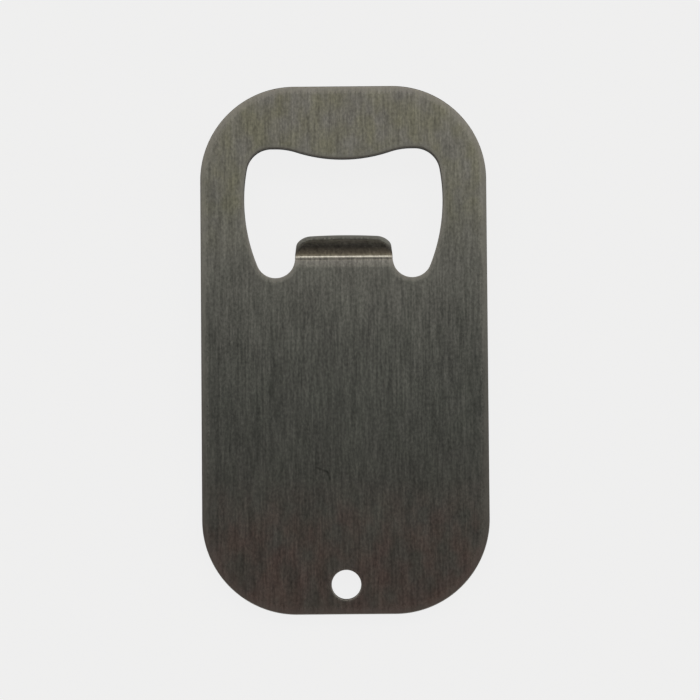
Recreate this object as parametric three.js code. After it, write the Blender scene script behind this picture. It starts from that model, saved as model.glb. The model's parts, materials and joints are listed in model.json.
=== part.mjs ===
import * as THREE from "three";

// A key-ring bottle opener, made as the real one is: one blank stamped from stainless sheet, with
// a bottle-cap opening, a tab that hooks the cap's edge, and a hole for a key ring. The tab is
// part of the blank and is bent down out of it. The opener lies flat: X runs across it, +Y runs
// along it towards the opening, and +Z points out of its front face. The origin is at the middle
// of the plate, on its back face. All lengths are in millimetres, all angles in radians.

const thickness = 2;
const plate = { width: 38, length: 70, cornerRadius: 12.5 };
const ringHole = { radius: 1.95, y: -31.1 };

// Edges of the stamped outline, rounded by tumbling.
const frontEdgeRadius = 0.15;
const backEdgeRadius = 0.2;

// The opening is mirrored about X = 0 and made of arcs that run smoothly into each other: the
// crest that presses on the cap, the flank and corner of an upper lobe, the long side, and the
// lower lobe that frees the tab.
const crest = { y: 25.35, radius: 20 };
const flankRadius = 9;
const lobeTopY = 26.8;
const cornerLobeRadius = 3.3;
const side = { halfWidth: 13.2, y: 19.9, radius: 23.2 };
const lowerLobe = { y: 12.1, radius: 2.6 };

// The tab, as it lies in the flat blank, and the way it is bent: the sheet starts to turn slowly
// ahead of the bend proper, turns slowly again after it, and then runs straight to the tip.
const tab = { halfWidth: 6.35, tipY: 15.65, tipRadius: 60, cornerRadius: 2.1 };
const leadIn = { startY: 10.8, length: 0.9, radius: 8 };
const bendAngle = THREE.MathUtils.degToRad(38);
const bendInnerRadius = 0.4;
const runOut = { length: 1.3, radius: 10 };

const bendRadius = bendInnerRadius + thickness / 2;
const slowTurn = leadIn.length / leadIn.radius + runOut.length / runOut.radius;
const bendZones = [
  { length: leadIn.length, radius: leadIn.radius },
  { length: (bendAngle - slowTurn) * bendRadius, radius: bendRadius },
  { length: runOut.length, radius: runOut.radius },
];

// ---------------------------------------------------------------- outlines
// An outline is a list of { at, inward }: a point, and the unit direction into the metal there.

// Points along an arc. The metal is inside the arc's circle, or outside it for a hole's arc.
function arc(centre, radius, from, to, segments, metalInside) {
  const points = [];
  for (let i = 0; i <= segments; i++) {
    const angle = from + ((to - from) * i) / segments;
    const outward = new THREE.Vector2(Math.cos(angle), Math.sin(angle));
    const inward = outward.clone().multiplyScalar(metalInside ? -1 : 1);
    points.push({ at: outward.multiplyScalar(radius).add(centre), inward });
  }
  return points;
}

// Points strictly between two outline points that share a direction.
function between(start, end, count) {
  const points = [];
  for (let i = 1; i <= count; i++) {
    const at = start.at.clone().lerp(end.at, i / (count + 1));
    points.push({ at, inward: start.inward.clone() });
  }
  return points;
}

function directionOf(from, to) {
  return Math.atan2(to.y - from.y, to.x - from.x);
}

// Counter-clockwise, so that the metal is on the left.
function plateOutline() {
  const x = plate.width / 2 - plate.cornerRadius;
  const y = plate.length / 2 - plate.cornerRadius;
  const centres = [[x, y], [-x, y], [-x, -y], [x, -y]];
  return centres.flatMap(([cx, cy], quarter) => {
    const from = (quarter * Math.PI) / 2;
    const centre = new THREE.Vector2(cx, cy);
    return arc(centre, plate.cornerRadius, from, from + Math.PI / 2, 16, true);
  });
}

// Clockwise, again with the metal on the left.
function ringHoleOutline() {
  const centre = new THREE.Vector2(0, ringHole.y);
  return arc(centre, ringHole.radius, 2 * Math.PI, 0, 24, false).slice(0, -1);
}

// The right half of the opening, clockwise from the middle of the crest to the tab's tip, and
// the place in it from which the points belong to the tab.
function openingRightHalf() {
  const crestCentre = new THREE.Vector2(0, crest.y + crest.radius);
  const sideCentre = new THREE.Vector2(side.halfWidth - side.radius, side.y);

  // A circle inside the side's circle, touching it, with its centre at the given height.
  const insideSide = (radius, y) => {
    const reach = side.radius - radius;
    return new THREE.Vector2(sideCentre.x + Math.sqrt(reach ** 2 - (y - side.y) ** 2), y);
  };

  const flankY = lobeTopY - flankRadius;
  const flankReach = crest.radius + flankRadius;
  const flankX = Math.sqrt(flankReach ** 2 - (crestCentre.y - flankY) ** 2);
  const flankCentre = new THREE.Vector2(flankX, flankY);
  const cornerCentre = insideSide(cornerLobeRadius, lobeTopY - cornerLobeRadius);
  const lowerCentre = insideSide(lowerLobe.radius, lowerLobe.y);

  const crestEnd = directionOf(crestCentre, flankCentre);
  const flankStart = directionOf(flankCentre, crestCentre);
  const sideStart = directionOf(sideCentre, cornerCentre);
  const sideEnd = directionOf(sideCentre, lowerCentre);
  const leadInAngle = -Math.PI + Math.asin((lowerLobe.y - leadIn.startY) / lowerLobe.radius);

  const plateSide = [
    ...arc(crestCentre, crest.radius, -Math.PI / 2, crestEnd, 7, true),
    ...arc(flankCentre, flankRadius, flankStart, Math.PI / 2, 4, false).slice(1),
    ...arc(cornerCentre, cornerLobeRadius, Math.PI / 2, sideStart, 9, false),
    ...arc(sideCentre, side.radius, sideStart, sideEnd, 14, false).slice(1),
    ...arc(lowerCentre, lowerLobe.radius, sideEnd, leadInAngle, 10, false).slice(1),
  ];

  const root = arc(lowerCentre, lowerLobe.radius, leadInAngle, -Math.PI, 3, false).slice(1);
  const tipCentre = new THREE.Vector2(0, tab.tipY - tab.tipRadius);
  const tabCornerX = tab.halfWidth - tab.cornerRadius;
  const tabCornerReach = Math.sqrt((tab.tipRadius - tab.cornerRadius) ** 2 - tabCornerX ** 2);
  const tabCornerCentre = new THREE.Vector2(tabCornerX, tipCentre.y + tabCornerReach);
  const tipStart = directionOf(tipCentre, tabCornerCentre);
  const tabCorner = arc(tabCornerCentre, tab.cornerRadius, 0, tipStart, 7, true);
  const tip = arc(tipCentre, tab.tipRadius, tipStart, Math.PI / 2, 3, true).slice(1, -1);
  const tabSide = between(root[root.length - 1], tabCorner[0], 5);
  return {
    points: [...plateSide, ...root, ...tabSide, ...tabCorner, ...tip],
    tabStart: plateSide.length,
  };
}

function mirrored({ at, inward }) {
  return {
    at: new THREE.Vector2(-at.x, at.y),
    inward: new THREE.Vector2(-inward.x, inward.y),
  };
}

// ---------------------------------------------------------------- section
// The rounded edge's section, from the front cap over the wall to the back cap: how far each ring
// of points stands in from the outline, and how high it lies.
function edgeSection(steps) {
  const rings = [];
  for (let i = 0; i <= steps; i++) {
    const angle = (i / steps) * (Math.PI / 2);
    rings.push({
      inset: frontEdgeRadius * (1 - Math.sin(angle)),
      z: thickness - frontEdgeRadius * (1 - Math.cos(angle)),
    });
  }
  for (let i = 0; i <= steps; i++) {
    const angle = (i / steps) * (Math.PI / 2);
    rings.push({
      inset: backEdgeRadius * (1 - Math.cos(angle)),
      z: backEdgeRadius * (1 - Math.sin(angle)),
    });
  }
  return rings;
}

// Carries a point of the flat blank onto the bent tab: y is its place along the blank and z its
// height in the sheet. The sheet's middle plane keeps its length.
function bent(y, z) {
  let left = y - leadIn.startY;
  if (left <= 0) {
    return { y, z };
  }
  let angle = 0;
  let middleY = leadIn.startY;
  let middleZ = thickness / 2;
  for (const { length, radius } of bendZones) {
    const run = Math.min(left, length);
    const next = angle + run / radius;
    middleY += radius * (Math.sin(next) - Math.sin(angle));
    middleZ += radius * (Math.cos(next) - Math.cos(angle));
    angle = next;
    left -= run;
  }
  middleY += left * Math.cos(angle);
  middleZ -= left * Math.sin(angle);
  const height = z - thickness / 2;
  return { y: middleY + height * Math.sin(angle), z: middleZ + height * Math.cos(angle) };
}

// ---------------------------------------------------------------- blank
// The closed surface of the blank: rings of points round every outline, joined by quads, and a
// front and a back cap. The caps are triangulated up to the tab's root and laddered across the
// tab, so that the tab bends without creasing.
function blankGeometry() {
  const { points: right, tabStart } = openingRightHalf();
  const opening = [...right, ...right.slice(1).reverse().map(mirrored)];
  const outlines = [plateOutline(), opening, ringHoleOutline()];
  const rings = edgeSection(3);

  // A point of the opening has its mirror image at the same distance from the list's other end.
  const mirrorOf = (i) => opening.length - i;
  const isTab = (i) => i >= tabStart && i <= mirrorOf(tabStart);

  const positions = [];
  const starts = [];
  for (const outline of outlines) {
    starts.push(positions.length / 3);
    for (const { inset, z } of rings) {
      outline.forEach(({ at, inward }, i) => {
        const flat = at.clone().addScaledVector(inward, inset);
        const placed = outline === opening && isTab(i) ? bent(flat.y, z) : { y: flat.y, z };
        positions.push(flat.x, placed.y, placed.z);
      });
    }
  }
  const vertex = (loop, ring, i) => {
    const count = outlines[loop].length;
    return starts[loop] + ring * count + (i % count);
  };

  const triangles = [];
  outlines.forEach((outline, loop) => {
    for (let ring = 0; ring < rings.length - 1; ring++) {
      for (let i = 0; i < outline.length; i++) {
        const upper = [vertex(loop, ring, i), vertex(loop, ring, i + 1)];
        const lower = [vertex(loop, ring + 1, i), vertex(loop, ring + 1, i + 1)];
        triangles.push(upper[0], lower[0], lower[1], upper[0], lower[1], upper[1]);
      }
    }
  });

  const addCap = (ring, facesUp) => {
    const add = (a, b, c) => triangles.push(...(facesUp ? [a, b, c] : [a, c, b]));
    const flatLoop = (loop, indices) => indices.map((i) => {
      const { at, inward } = outlines[loop][i];
      const point = at.clone().addScaledVector(inward, rings[ring].inset);
      return Object.assign(point, { vertex: vertex(loop, ring, i) });
    });

    const all = (loop) => flatLoop(loop, [...outlines[loop].keys()]);
    const rootIndices = [...opening.keys()].filter((i) => i <= tabStart || i >= mirrorOf(tabStart));
    const contour = all(0);
    const holes = [flatLoop(1, rootIndices), all(2)];
    const corners = [contour, ...holes].flat();
    for (const [a, b, c] of THREE.ShapeUtils.triangulateShape(contour, holes)) {
      add(corners[a].vertex, corners[b].vertex, corners[c].vertex);
    }

    for (let i = tabStart; i < right.length - 1; i++) {
      const near = [vertex(1, ring, i), vertex(1, ring, mirrorOf(i))];
      const far = [vertex(1, ring, i + 1), vertex(1, ring, mirrorOf(i + 1))];
      add(near[1], near[0], far[0]);
      add(near[1], far[0], far[1]);
    }
  };
  addCap(0, true);
  addCap(rings.length - 1, false);

  const geometry = new THREE.BufferGeometry();
  geometry.setAttribute("position", new THREE.Float32BufferAttribute(positions, 3));
  geometry.setIndex(triangles);
  geometry.computeVertexNormals();
  return geometry;
}

const brushedSteel = new THREE.MeshStandardMaterial({
  color: 0x8d8b84,
  roughness: 0.38,
  metalness: 1,
});

const opener = new THREE.Mesh(blankGeometry(), brushedSteel);
opener.name = "opener_plate";

const group = new THREE.Group();
group.name = "key_ring_bottle_opener";
group.add(opener);

export default group;
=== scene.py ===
"""A key-ring bottle opener, stamped from brushed stainless sheet, lying on a pale table.

The CAD frame gives the plate's size and the ring hole. This script makes the fine surface of the
same blank: the rolled and tumbled edges, the cut walls and the bent tab. X runs across the plate,
+Y along it towards the cap opening, and +Z out of its front face.
"""

import json
import math

import bmesh
import bpy
from mathutils import Matrix, Vector
from mathutils.geometry import tessellate_polygon


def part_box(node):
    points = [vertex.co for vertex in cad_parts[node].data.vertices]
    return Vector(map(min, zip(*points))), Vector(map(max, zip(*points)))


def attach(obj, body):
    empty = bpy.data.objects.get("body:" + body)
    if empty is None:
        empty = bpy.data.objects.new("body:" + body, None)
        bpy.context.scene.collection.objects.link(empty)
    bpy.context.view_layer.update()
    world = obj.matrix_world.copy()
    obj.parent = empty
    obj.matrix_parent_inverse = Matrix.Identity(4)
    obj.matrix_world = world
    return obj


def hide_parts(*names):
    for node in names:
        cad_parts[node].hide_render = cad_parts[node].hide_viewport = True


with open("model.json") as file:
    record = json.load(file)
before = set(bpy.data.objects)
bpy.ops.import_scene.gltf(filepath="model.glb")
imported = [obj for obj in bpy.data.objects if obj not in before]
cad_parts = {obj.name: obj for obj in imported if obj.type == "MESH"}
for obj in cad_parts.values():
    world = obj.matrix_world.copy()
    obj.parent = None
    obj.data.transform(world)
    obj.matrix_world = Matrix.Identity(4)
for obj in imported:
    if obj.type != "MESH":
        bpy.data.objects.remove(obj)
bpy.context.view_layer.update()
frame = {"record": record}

# ---------------------------------------------------------------- driving dimensions, in metres
MM = 0.001

# How far a chord may stray from its arc, and how many steps a section's parts are made in.
CHORD_ERROR = 0.0006 * MM
TURN_STEPS = 8
STRAIGHT_STEPS = 3

THICKNESS = 2 * MM
CORNER_RADIUS = 12.5 * MM

# The opening, mirrored about X = 0: crest, flank, corner and long side of the upper lobe, then
# the lower lobe that frees the tab.
CREST_Y = 25.35 * MM
CREST_RADIUS = 20 * MM
FLANK_RADIUS = 9 * MM
LOBE_TOP_Y = 26.8 * MM
CORNER_LOBE_RADIUS = 3.3 * MM
SIDE_HALF_WIDTH = 13.2 * MM
SIDE_Y = 19.9 * MM
SIDE_RADIUS = 23.2 * MM
LOWER_LOBE_Y = 12.1 * MM
LOWER_LOBE_RADIUS = 2.6 * MM

# The tab, as it lies in the flat blank, and its bend.
TAB_HALF_WIDTH = 6.35 * MM
TAB_TIP_Y = 15.65 * MM
TAB_TIP_RADIUS = 60 * MM
TAB_CORNER_RADIUS = 2.1 * MM
LEAD_IN_Y = 10.8 * MM
LEAD_IN_LENGTH = 0.9 * MM
LEAD_IN_RADIUS = 8 * MM
BEND_ANGLE = math.radians(38)
BEND_MIDDLE_RADIUS = 1.4 * MM
RUN_OUT_LENGTH = 1.3 * MM
RUN_OUT_RADIUS = 10 * MM
TAB_ROW_STEP = 0.025 * MM

# The press leaves a shallow groove across the tab's root, where the bend starts. The dark line
# along it is painted shade.
GROOVE_Y = 11.81 * MM
GROOVE_HALF_WIDTH = 0.1 * MM
GROOVE_DEPTH = 0.016 * MM

# Edges, as (roll width, roll angle, corner radius): the press rolls the sheet's front edge over a
# little, and the tumbler rounds the corner that is left. The tab's tip is pressed round. The
# wall is burnished by the die, and breaks away in its lower part.
PLATE_EDGE = (1.1 * MM, math.radians(4.6), 0.17 * MM)
OPENING_EDGE = (0.7 * MM, math.radians(2), 0.1 * MM)
TAB_EDGE = (1.1 * MM, math.radians(26), 0.15 * MM)
TAB_EDGE_START_Y = 12.6 * MM
TAB_EDGE_FULL_Y = 14.8 * MM
HOLE_EDGE = (0.3 * MM, math.radians(2), 0.1 * MM)
BREAK_LEAN = math.radians(3)
BREAK_HEIGHT = 0.75 * MM
BACK_EDGE_RADIUS = 0.2 * MM

# ---------------------------------------------------------------- finish
# The brushed finish: streaks of noise along Y, as (width, length, contrast). Each noise is
# clamped to NOISE_RANGE and, for the roughness, their sum to GRAIN_REACH either way.
GRAIN = [
    (0.28 * MM, 0.45 * MM, 0.22),
    (0.3 * MM, 3.2 * MM, 0.21),
    (0.6 * MM, 9 * MM, 0.08),
    (3 * MM, 4 * MM, 0.07),
]
NOISE_DETAIL = 2
NOISE_RANGE = (0.25, 0.75)
GRAIN_REACH = 0.4
STEEL = (0.52, 0.505, 0.47)
FACE_ROUGHNESS = (0.2, 0.26)

# What the tumbler does to the rim, as (range of the rim value, effect at its two ends). The rim
# value runs from 0 on the front face to 1 at the outline. Past WALL_RIM lies the cut wall. The
# back face has no 0: it is filled in between its edges, where the value is 0.4 to 0.8.
RIM_GRAIN = ((0.2, 0.9), (1, 0.35))
RIM_TINTS = ((0.1, 0.8), (1, 0.3))
RIM_BRIGHTNESS = ((0, 1), (1, 1.1))
RIM_ROUGHNESS = ((0.1, 0.9), (0, 0.15))
WALL_RIM = (0.88, 0.94)

# Faint tints in patches, which fade in along Y, as (tint, where along Y they start, where they are
# full). The shift takes each tint's patches from another part of the noise.
TINT_PATCH = (2.5 * MM, 4 * MM)
TINT_NOISE_RANGE = (0.35, 0.65)
TINT_NOISE_SHIFT = 10.0
PATCH_TINTS = [
    ((0.97, 1.0, 0.97), 40 * MM, -40 * MM),
    ((1.0, 1.0, 0.85), 12 * MM, 20 * MM),
    ((1.16, 0.96, 0.95), -17 * MM, -24 * MM),
]

# The cut wall: fine die scratches across it, and a coarse broken lower part. The ragged line
# between the two lies at BREAK_LINE, in shares of the sheet's thickness.
WALL_TINT = (0.42, 0.405, 0.38)
WALL_SCRATCH = (0.12 * MM, 3 * MM, 0.3)
BREAK_GRAIN = (0.12 * MM, 0.12 * MM, 0.45)
BREAK_LINE = (0.44, 0.5)
BREAK_RAGGEDNESS = 0.08
BREAK_BRIGHTNESS = 0.8
BREAK_ROUGHNESS = 0.3

# A short two-part scratch on the front face, left of the middle line.
SCRATCHES = [
    ((-3.9 * MM, -15.6 * MM), (-2.4 * MM, -16.2 * MM)),
    ((-2.4 * MM, -16.2 * MM), (-2.0 * MM, -17.2 * MM)),
]
SCRATCH_HALF_WIDTH = 0.19 * MM
SCRATCH_DARKNESS = 0.32
# How dark the painted shade along the tab's groove is.
GROOVE_PAINTED_SHADE = 0.5

# ---------------------------------------------------------------- table, camera and light
# The table, and the pale colour that the camera sees beyond it.
FLOOR_SIZE = 6.0
FLOOR_GLOW = 0.838
FLOOR_ALBEDO = 0.08
PALE = (0.863, 0.863, 0.863)

# The camera, almost straight above the front face.
CAMERA_AIM = Vector((0.72 * MM, -0.115 * MM, THICKNESS))
CAMERA_DISTANCE = 300 * MM
CAMERA_TILT = math.radians(2.1)
CAMERA_ROLL = math.radians(0.47)
CAMERA_VIEW_WIDTH = 92.68 * MM
CAMERA_CLIP_START = 10 * MM
SENSOR_WIDTH = 36

# A long softbox on the +Y side, at an angle from overhead.
KEY_LENGTH = 1.4
KEY_WIDTH = 0.19
KEY_DISTANCE = 1
KEY_ANGLE = math.radians(41)
KEY_RADIANCE = 1.15
KEY_COLOUR = (1, 0.97, 0.9)

# The studio that the steel mirrors, as (degrees from overhead towards +Y, colour). It is dark
# overhead, where the camera hangs, and brighter on the key light's side.
STUDIO = [
    (-180, (0.08, 0.08, 0.076)),
    (-145, (0.1, 0.1, 0.095)),
    (-112, (0.32, 0.31, 0.29)),
    (-88, (0.3, 0.29, 0.27)),
    (-70, (0.22, 0.21, 0.195)),
    (-40, (0.09, 0.075, 0.07)),
    (-4, (0.081, 0.069, 0.064)),
    (-2, (0.073, 0.075, 0.07)),
    (0, (0.082, 0.087, 0.082)),
    (2.3, (0.075, 0.08, 0.075)),
    (3.5, (0.13, 0.132, 0.125)),
    (5.3, (0.19, 0.193, 0.178)),
    (6.1, (0.268, 0.264, 0.24)),
    (9.5, (0.246, 0.24, 0.223)),
    (20, (0.315, 0.305, 0.29)),
    (55, (0.28, 0.25, 0.195)),
    (66, (0.17, 0.147, 0.117)),
    (78, (0.036, 0.032, 0.03)),
    (82, (0.03, 0.027, 0.026)),
    (87, (0.15, 0.145, 0.135)),
    (98, (0.17, 0.17, 0.16)),
    (125, (0.26, 0.26, 0.245)),
    (155, (0.1, 0.1, 0.095)),
    (180, (0.08, 0.08, 0.076)),
]

# The studio's level, and what its two sides add, as (range of X in the heading, added level).
STUDIO_LEVEL = 0.58
STUDIO_LEFT = ((-0.5, -0.05), (0.9, 0.0))
STUDIO_RIGHT = ((0.0, 0.4), (0.0, 1.4))

# ---------------------------------------------------------------- outlines
# An outline is a list of (point, unit direction into the metal) pairs, with the metal on the left.


def direction(angle):
    return Vector((math.cos(angle), math.sin(angle)))


def angle_of(start, end):
    return math.atan2(end.y - start.y, end.x - start.x)


def arc(centre, radius, start, end, metal_inside, longest_step=1.0):
    """Points along an arc, as close as CHORD_ERROR and the longest step, in metres, ask for."""
    step = min(math.sqrt(8 * CHORD_ERROR / radius), longest_step / radius)
    count = math.ceil(abs(end - start) / step)
    points = []
    for i in range(count + 1):
        outward = direction(start + (end - start) * i / count)
        points.append((centre + outward * radius, -outward if metal_inside else outward))
    return points


def between(start, end, step):
    """Points strictly between two outline points that share a direction."""
    count = math.ceil((end[0] - start[0]).length / step)
    return [(start[0].lerp(end[0], i / count), start[1]) for i in range(1, count)]


def plate_outline(width, length):
    x = width / 2 - CORNER_RADIUS
    y = length / 2 - CORNER_RADIUS
    points = []
    for quarter, centre in enumerate([(x, y), (-x, y), (-x, -y), (x, -y)]):
        start = quarter * math.pi / 2
        points += arc(Vector(centre), CORNER_RADIUS, start, start + math.pi / 2, True)
    return points


def hole_outline(centre, radius):
    return arc(centre, radius, 2 * math.pi, 0, False)[:-1]


def opening_right_half():
    """From the middle of the crest to the tab's tip, and where in it the tab starts."""
    crest_centre = Vector((0, CREST_Y + CREST_RADIUS))
    side_centre = Vector((SIDE_HALF_WIDTH - SIDE_RADIUS, SIDE_Y))

    def inside_side(radius, y):
        reach = SIDE_RADIUS - radius
        return Vector((side_centre.x + math.sqrt(reach**2 - (y - SIDE_Y) ** 2), y))

    flank_y = LOBE_TOP_Y - FLANK_RADIUS
    flank_reach = CREST_RADIUS + FLANK_RADIUS
    flank_x = math.sqrt(flank_reach**2 - (crest_centre.y - flank_y) ** 2)
    flank_centre = Vector((flank_x, flank_y))
    corner_centre = inside_side(CORNER_LOBE_RADIUS, LOBE_TOP_Y - CORNER_LOBE_RADIUS)
    lower_centre = inside_side(LOWER_LOBE_RADIUS, LOWER_LOBE_Y)

    crest_end = angle_of(crest_centre, flank_centre)
    flank_start = angle_of(flank_centre, crest_centre)
    side_start = angle_of(side_centre, corner_centre)
    side_end = angle_of(side_centre, lower_centre)
    root_start = -math.pi + math.asin((LOWER_LOBE_Y - LEAD_IN_Y) / LOWER_LOBE_RADIUS)

    plate_side = arc(crest_centre, CREST_RADIUS, -math.pi / 2, crest_end, True)
    plate_side += arc(flank_centre, FLANK_RADIUS, flank_start, math.pi / 2, False)[1:]
    plate_side += arc(corner_centre, CORNER_LOBE_RADIUS, math.pi / 2, side_start, False)
    plate_side += arc(side_centre, SIDE_RADIUS, side_start, side_end, False)[1:]
    plate_side += arc(lower_centre, LOWER_LOBE_RADIUS, side_end, root_start, False)[1:]

    root = arc(lower_centre, LOWER_LOBE_RADIUS, root_start, -math.pi, False, TAB_ROW_STEP)[1:]
    tip_centre = Vector((0, TAB_TIP_Y - TAB_TIP_RADIUS))
    tab_corner_x = TAB_HALF_WIDTH - TAB_CORNER_RADIUS
    tab_corner_reach = math.sqrt((TAB_TIP_RADIUS - TAB_CORNER_RADIUS) ** 2 - tab_corner_x**2)
    tab_corner_centre = Vector((tab_corner_x, tip_centre.y + tab_corner_reach))
    tip_start = angle_of(tip_centre, tab_corner_centre)
    tab_corner = arc(tab_corner_centre, TAB_CORNER_RADIUS, 0, tip_start, True)
    tip = arc(tip_centre, TAB_TIP_RADIUS, tip_start, math.pi / 2, True)[1:-1]
    tab_side = between(root[-1], tab_corner[0], TAB_ROW_STEP)
    return plate_side + root + tab_side + tab_corner + tip, len(plate_side)


def mirrored(point):
    """The outline point on the other side of X = 0."""
    at, inward = point
    return Vector((-at.x, at.y)), Vector((-inward.x, inward.y))


# ---------------------------------------------------------------- section and bend


def edge_section(roll_width, roll_angle, corner_radius):
    """Rings from the front face to the back: (inset from the outline, height) pairs."""
    wall_angle = math.pi / 2
    break_angle = wall_angle + BREAK_LEAN
    roll_radius = roll_width / math.sin(roll_angle)
    inset = roll_width + corner_radius * (1 - math.sin(roll_angle))
    height = THICKNESS
    rings = [(inset, height)]

    def turn(radius, start, end):
        nonlocal inset, height
        for i in range(TURN_STEPS):
            a = start + (end - start) * i / TURN_STEPS
            b = start + (end - start) * (i + 1) / TURN_STEPS
            inset -= radius * (math.sin(b) - math.sin(a))
            height -= radius * (math.cos(a) - math.cos(b))
            rings.append((inset, height))

    def straight(angle, lowest):
        nonlocal inset, height
        drop = (height - lowest) / STRAIGHT_STEPS
        for _ in range(STRAIGHT_STEPS):
            inset -= drop / math.tan(angle)
            height -= drop
            rings.append((inset, height))

    back_edge_top = BACK_EDGE_RADIUS * (1 + math.cos(break_angle))
    turn(roll_radius, 0, roll_angle)
    turn(corner_radius, roll_angle, wall_angle)
    straight(wall_angle, back_edge_top + BREAK_HEIGHT)
    straight(break_angle, back_edge_top)
    turn(BACK_EDGE_RADIUS, break_angle, math.pi)
    return rings


def blended(section, other, share):
    """The first section where share is 0, and the other where it is 1."""
    pairs = zip(section, other)
    return [tuple(a + (b - a) * share for a, b in zip(ring, to)) for ring, to in pairs]


def bent(y, z):
    """Carries a point of the flat blank onto the bent tab, with the groove in its front."""
    if z > THICKNESS / 2:
        z -= GROOVE_DEPTH * math.exp(-(((y - GROOVE_Y) / GROOVE_HALF_WIDTH) ** 2))
    left = y - LEAD_IN_Y
    if left <= 0:
        return y, z
    slow_turn = LEAD_IN_LENGTH / LEAD_IN_RADIUS + RUN_OUT_LENGTH / RUN_OUT_RADIUS
    zones = [
        (LEAD_IN_LENGTH, LEAD_IN_RADIUS),
        ((BEND_ANGLE - slow_turn) * BEND_MIDDLE_RADIUS, BEND_MIDDLE_RADIUS),
        (RUN_OUT_LENGTH, RUN_OUT_RADIUS),
    ]
    angle = 0
    middle_y = LEAD_IN_Y
    middle_z = THICKNESS / 2
    for length, radius in zones:
        run = min(left, length)
        turned = angle + run / radius
        middle_y += radius * (math.sin(turned) - math.sin(angle))
        middle_z += radius * (math.cos(turned) - math.cos(angle))
        angle = turned
        left -= run
    middle_y += left * math.cos(angle)
    middle_z -= left * math.sin(angle)
    height = z - THICKNESS / 2
    return middle_y + height * math.sin(angle), middle_z + height * math.cos(angle)


# ---------------------------------------------------------------- blank


def tab_share(y):
    """How far a point of the opening's outline has the tip's own edge: 0 on the tab's root."""
    along = (y - TAB_EDGE_START_Y) / (TAB_EDGE_FULL_Y - TAB_EDGE_START_Y)
    return min(max(along, 0), 1)


def blank_mesh(plate_size, hole_centre, hole_radius):
    """The closed surface of the stamped and bent blank."""
    right, tab_start = opening_right_half()
    opening = right + [mirrored(point) for point in reversed(right[1:])]
    mirror_start = len(opening) - tab_start

    def on_tab(outline, i):
        return outline is opening and tab_start <= i <= mirror_start

    tab_section = edge_section(*TAB_EDGE)
    loops = [
        (plate_outline(*plate_size), edge_section(*PLATE_EDGE)),
        (opening, edge_section(*OPENING_EDGE)),
        (hole_outline(hole_centre, hole_radius), edge_section(*HOLE_EDGE)),
    ]

    vertices = []
    starts = []
    rim = []
    sheet_height = []
    for outline, section in loops:
        starts.append(len(vertices))
        sections = [
            blended(section, tab_section, tab_share(at.y)) if on_tab(outline, i) else section
            for i, (at, _) in enumerate(outline)
        ]
        for ring in range(len(section)):
            for i, (at, inward) in enumerate(outline):
                inset, z = sections[i][ring]
                flat = at + inward * inset
                y, height = bent(flat.y, z) if on_tab(outline, i) else (flat.y, z)
                vertices.append((flat.x, y, height))
                rim.append(1 - min(inset / sections[i][0][0], 1))
                sheet_height.append(z / THICKNESS)

    def vertex(loop, ring, i):
        count = len(loops[loop][0])
        return starts[loop] + ring * count + i % count

    faces = []
    for loop, (outline, section) in enumerate(loops):
        for ring in range(len(section) - 1):
            for i in range(len(outline)):
                upper = vertex(loop, ring, i), vertex(loop, ring, i + 1)
                lower = vertex(loop, ring + 1, i), vertex(loop, ring + 1, i + 1)
                faces.append((upper[0], lower[0], lower[1], upper[1]))

    def add_cap(front):
        def add(corners):
            faces.append(tuple(corners if front else reversed(corners)))

        def flat_loop(loop, indices):
            outline, section = loops[loop]
            ring = 0 if front else len(section) - 1
            inset = section[ring][0]
            points = [outline[i][0] + outline[i][1] * inset for i in indices]
            return points, [vertex(loop, ring, i) for i in indices]

        plate_part = [i for i in range(len(opening)) if i <= tab_start or i >= mirror_start]
        parts = [
            flat_loop(0, range(len(loops[0][0]))),
            flat_loop(1, plate_part),
            flat_loop(2, range(len(loops[2][0]))),
        ]
        polygons = [[point.to_3d() for point in points] for points, _ in parts]
        corners = [index for _, indices in parts for index in indices]
        for triangle in tessellate_polygon(polygons):
            add([corners[i] for i in triangle])

        ring = 0 if front else len(loops[1][1]) - 1
        for i in range(tab_start, len(right) - 1):
            near = vertex(1, ring, len(opening) - i), vertex(1, ring, i)
            far = vertex(1, ring, len(opening) - i - 1), vertex(1, ring, i + 1)
            add([near[0], near[1], far[1], far[0]])

    add_cap(True)
    add_cap(False)

    mesh = bpy.data.meshes.new("opener_blank")
    mesh.from_pydata(vertices, [], faces)
    for name, values in (("rim", rim), ("sheet_height", sheet_height)):
        attribute = mesh.attributes.new(name, "FLOAT", "POINT")
        attribute.data.foreach_set("value", values)
    shell = bmesh.new()
    shell.from_mesh(mesh)
    bmesh.ops.recalc_face_normals(shell, faces=shell.faces)
    shell.to_mesh(mesh)
    shell.free()
    mesh.shade_smooth()
    return mesh


# ---------------------------------------------------------------- materials


def node(tree, kind, inputs=None, **settings):
    """Adds a shader node, and sets each named input to a value or links it to a socket."""
    made = tree.nodes.new("ShaderNode" + kind)
    for name, value in settings.items():
        setattr(made, name, value)
    for name, value in (inputs or {}).items():
        if isinstance(value, bpy.types.NodeSocket):
            tree.links.new(value, made.inputs[name])
        else:
            made.inputs[name].default_value = value
    return made


def math_node(tree, operation, a, b=0.0):
    made = node(tree, "Math", {0: a, 1: b}, operation=operation)
    return made.outputs[0]


def mapped(tree, value, from_range, to_range):
    ends = dict(zip(("From Min", "From Max", "To Min", "To Max"), (*from_range, *to_range)))
    return node(tree, "MapRange", {"Value": value, **ends}).outputs["Result"]


def ramp(tree, factor, stops):
    """A colour ramp through (place, colour) stops."""
    made = node(tree, "ValToRGB", {"Fac": factor})
    elements = made.color_ramp.elements
    while len(elements) < len(stops):
        elements.new(0.5)
    for element, (place, colour) in zip(elements, stops):
        element.position = place
        element.color = (*colour, 1)
    return made.outputs["Color"]


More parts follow.
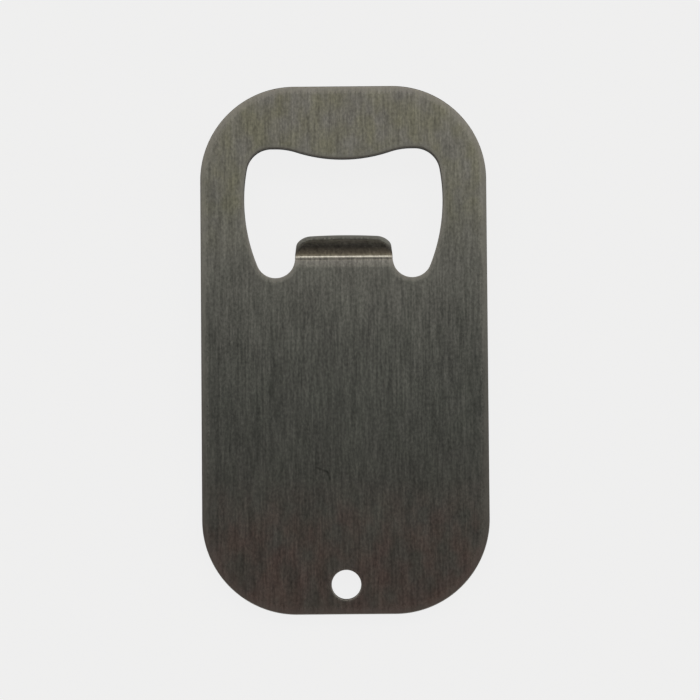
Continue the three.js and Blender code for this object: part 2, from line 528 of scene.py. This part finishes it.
def streaks(tree, position, across, along, axis="Y", shift=0.0):
    """Noise in streaks along an axis, of about the given width and length in metres."""
    scale = [1 / along if name == axis else 1 / across for name in "XYZ"]
    inputs = {"Vector": position, "Scale": scale, "Location": (shift, 0, 0)}
    vector = node(tree, "Mapping", inputs).outputs["Vector"]
    noise = node(tree, "TexNoise", {"Vector": vector, "Scale": 1, "Detail": NOISE_DETAIL})
    return noise.outputs["Fac"]


def scratch_and_groove_shade_marks():
    """The scratches, and the painted shade along the groove, as (start, end, half width, darkness)
    of straight marks.
    """
    place = bent(GROOVE_Y, THICKNESS)
    left, right = (Vector((side * TAB_HALF_WIDTH, *place)) for side in (-1, 1))
    marks = [(left, right, GROOVE_HALF_WIDTH, GROOVE_PAINTED_SHADE)]
    for start, end in SCRATCHES:
        ends = Vector((*start, THICKNESS)), Vector((*end, THICKNESS))
        marks.append((*ends, SCRATCH_HALF_WIDTH, SCRATCH_DARKNESS))
    return marks


def mark(tree, position, start, end, half_width):
    """1 in the middle third of a straight mark, fading to 0 at its edge."""
    along = end - start
    offset = node(tree, "VectorMath", {0: position, 1: start}, operation="SUBTRACT").outputs[0]
    dot = node(tree, "VectorMath", {0: offset, 1: along}, operation="DOT_PRODUCT")
    place = mapped(tree, dot.outputs["Value"], (0, along.length_squared), (0, 1))
    nearest = node(tree, "VectorMath", {0: along, 3: place}, operation="SCALE").outputs[0]
    gap = node(tree, "VectorMath", {0: offset, 1: nearest}, operation="DISTANCE")
    return mapped(tree, gap.outputs["Value"], (half_width / 3, half_width), (1, 0))


def scaled(tree, colour, factor):
    return node(tree, "VectorMath", {0: colour, 3: factor}, operation="SCALE").outputs[0]


def mixed(tree, share, a, b):
    """b where share is 1, and a where it is 0."""
    return node(tree, "Mix", {0: share, 4: a, 5: b}, data_type="VECTOR").outputs[1]


def tinted_in_patches(tree, position, rim, colour):
    """The colour with its tints in patches, which fade in along Y and are fainter on the rims."""
    along = node(tree, "SeparateXYZ", {0: position}).outputs["Y"]
    left_on = mapped(tree, rim, *RIM_TINTS)
    for i, (tint, start, full) in enumerate(PATCH_TINTS):
        noise = streaks(tree, position, *TINT_PATCH, shift=TINT_NOISE_SHIFT * i)
        spots = mapped(tree, noise, TINT_NOISE_RANGE, (0, 1))
        patch = math_node(tree, "MULTIPLY", spots, left_on)
        share = math_node(tree, "MULTIPLY", patch, mapped(tree, along, (start, full), (0, 1)))
        tinted = node(tree, "VectorMath", {0: colour, 1: tint}, operation="MULTIPLY").outputs[0]
        colour = mixed(tree, share, colour, tinted)
    return colour


def brushed_stainless():
    """Stainless sheet brushed along Y, with tumbled edges and cut walls."""
    material = bpy.data.materials.new("brushed_stainless")
    material.use_nodes = True
    tree = material.node_tree
    shader = tree.nodes["Principled BSDF"]
    position = node(tree, "TexCoord").outputs["Object"]
    rim = node(tree, "Attribute", attribute_name="rim").outputs["Fac"]
    height = node(tree, "Attribute", attribute_name="sheet_height").outputs["Fac"]
    on_wall = mapped(tree, rim, WALL_RIM, (0, 1))

    grain = 0.0
    for across, along, share in GRAIN:
        noise = streaks(tree, position, across, along)
        grain = math_node(tree, "ADD", grain, mapped(tree, noise, NOISE_RANGE, (-share, share)))
    calm = mapped(tree, rim, *RIM_GRAIN)
    contrast = math_node(tree, "MULTIPLY", grain, calm)
    # The scratches darken the colour, and so does the painted shade along the groove.
    for start, end, half_width, darkness in scratch_and_groove_shade_marks():
        here = mark(tree, position, start, end, half_width)
        darker = math_node(tree, "MULTIPLY", here, darkness)
        contrast = math_node(tree, "SUBTRACT", contrast, darker)
    brightness = math_node(tree, "ADD", contrast, mapped(tree, rim, *RIM_BRIGHTNESS))
    face_colour = scaled(tree, tinted_in_patches(tree, position, rim, STEEL), brightness)

    across, along, share = WALL_SCRATCH
    scratches = streaks(tree, position, across, along, "Z")
    burnish = mapped(tree, scratches, NOISE_RANGE, (1 - share, 1 + share))
    across, along, share = BREAK_GRAIN
    grit = streaks(tree, position, across, along)
    rubble_range = (BREAK_BRIGHTNESS - share, BREAK_BRIGHTNESS + share)
    rubble = mapped(tree, grit, NOISE_RANGE, rubble_range)
    jitter = mapped(tree, grit, (0, 1), (-BREAK_RAGGEDNESS, BREAK_RAGGEDNESS))
    broken = mapped(tree, math_node(tree, "ADD", height, jitter), BREAK_LINE, (1, 0))
    wall = math_node(
        tree,
        "ADD",
        math_node(tree, "MULTIPLY", burnish, math_node(tree, "SUBTRACT", 1.0, broken)),
        math_node(tree, "MULTIPLY", rubble, broken),
    )
    wall_colour = scaled(tree, WALL_TINT, wall)
    colour = mixed(tree, on_wall, face_colour, wall_colour)
    tree.links.new(colour, shader.inputs["Base Color"])

    broken_wall = math_node(tree, "MULTIPLY", broken, on_wall)
    rough = mapped(tree, grain, (-GRAIN_REACH, GRAIN_REACH), FACE_ROUGHNESS)
    rough = math_node(tree, "ADD", rough, mapped(tree, rim, *RIM_ROUGHNESS))
    rough = math_node(tree, "ADD", rough, mapped(tree, broken_wall, (0, 1), (0, BREAK_ROUGHNESS)))
    tree.links.new(rough, shader.inputs["Roughness"])

    # Brushing along Y spreads the reflections along X.
    across = node(tree, "CombineXYZ", {0: 1.0}).outputs["Vector"]
    tree.links.new(across, shader.inputs["Tangent"])
    shader.inputs["Metallic"].default_value = 1
    shader.inputs["Anisotropic"].default_value = 1
    return material


# ---------------------------------------------------------------- scene


def place_blank():
    low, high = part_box("opener_plate")
    mounts = {mount["name"]: mount for mount in frame["record"]["mounts"]}
    ring_hole = mounts["key_ring_hole"]
    mesh = blank_mesh(
        (high.x - low.x, high.y - low.y),
        Vector(ring_hole["pos_m"][:2]),
        ring_hole["dims"]["r_mm"] * MM,
    )
    mesh.materials.append(brushed_stainless())
    blank = bpy.data.objects.new("opener_blank", mesh)
    bpy.context.scene.collection.objects.link(blank)
    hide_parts("opener_plate")
    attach(blank, "root")
    return blank


def place_floor(blank):
    """A pale glowing table. The opener lies on it with its tab's tip and its ring end."""
    points = [vertex.co for vertex in blank.data.vertices]
    tab = min(points, key=lambda point: point.z)
    slope = min((point.z - tab.z) / (tab.y - point.y) for point in points if point.y < 0)

    mesh = bpy.data.meshes.new("table_top")
    half = FLOOR_SIZE / 2
    corners = [(-half, -half, 0), (half, -half, 0), (half, half, 0), (-half, half, 0)]
    mesh.from_pydata(corners, [], [(0, 1, 2, 3)])
    floor = bpy.data.objects.new("table_top", mesh)
    floor.location = (0, tab.y, tab.z)
    floor.rotation_euler.x = -math.atan(slope)
    bpy.context.scene.collection.objects.link(floor)

    material = bpy.data.materials.new("table_top")
    material.use_nodes = True
    shader = material.node_tree.nodes["Principled BSDF"]
    shader.inputs["Base Color"].default_value = (FLOOR_ALBEDO,) * 3 + (1,)
    shader.inputs["Roughness"].default_value = 1
    shader.inputs["Specular IOR Level"].default_value = 0
    shader.inputs["Emission Color"].default_value = (1, 1, 1, 1)
    shader.inputs["Emission Strength"].default_value = FLOOR_GLOW
    mesh.materials.append(material)
    # The steel mirrors the studio, and not the table.
    floor.visible_glossy = False


def add_camera():
    camera = bpy.data.objects.new("camera", bpy.data.cameras.new("camera"))
    camera.data.sensor_width = SENSOR_WIDTH
    camera.data.lens = SENSOR_WIDTH * CAMERA_DISTANCE / CAMERA_VIEW_WIDTH
    camera.data.clip_start = CAMERA_CLIP_START
    camera.matrix_world = (
        Matrix.Translation(CAMERA_AIM)
        @ Matrix.Rotation(CAMERA_TILT, 4, "X")
        @ Matrix.Rotation(-CAMERA_ROLL, 4, "Z")
        @ Matrix.Translation((0, 0, CAMERA_DISTANCE))
    )
    bpy.context.scene.collection.objects.link(camera)
    bpy.context.scene.camera = camera


def add_world():
    """The studio for every ray but the camera's own, which sees a plain pale background."""
    world = bpy.data.worlds.new("studio")
    world.use_nodes = True
    tree = world.node_tree
    background = tree.nodes["Background"]
    heading = node(tree, "TexCoord").outputs["Generated"]
    part = node(tree, "SeparateXYZ", {0: heading})
    lean = math_node(tree, "ARCTAN2", part.outputs["Y"], part.outputs["Z"])
    place = mapped(tree, lean, (-math.pi, math.pi), (0, 1))
    glow = ramp(tree, place, [(0.5 + degrees / 360, colour) for degrees, colour in STUDIO])
    left = mapped(tree, part.outputs["X"], *STUDIO_LEFT)
    right = mapped(tree, part.outputs["X"], *STUDIO_RIGHT)
    sides = math_node(tree, "ADD", left, right)
    glow = scaled(tree, glow, math_node(tree, "ADD", sides, STUDIO_LEVEL))
    seen = node(tree, "LightPath").outputs["Is Camera Ray"]
    mix = node(tree, "Mix", {0: seen, 6: glow, 7: (*PALE, 1)}, data_type="RGBA")
    tree.links.new(mix.outputs[2], background.inputs["Color"])
    bpy.context.scene.world = world


def add_key_light():
    light = bpy.data.lights.new("key", "AREA")
    light.shape = "RECTANGLE"
    light.size = KEY_LENGTH
    light.size_y = KEY_WIDTH
    light.energy = KEY_RADIANCE * math.pi * light.size * light.size_y
    light.color = KEY_COLOUR
    key = bpy.data.objects.new("key", light)
    away = Matrix.Translation((0, 0, KEY_DISTANCE))
    key.matrix_world = Matrix.Rotation(-KEY_ANGLE, 4, "X") @ away
    bpy.context.scene.collection.objects.link(key)


add_camera()
add_world()
add_key_light()
place_floor(place_blank())
bpy.context.scene.view_settings.view_transform = "Standard"
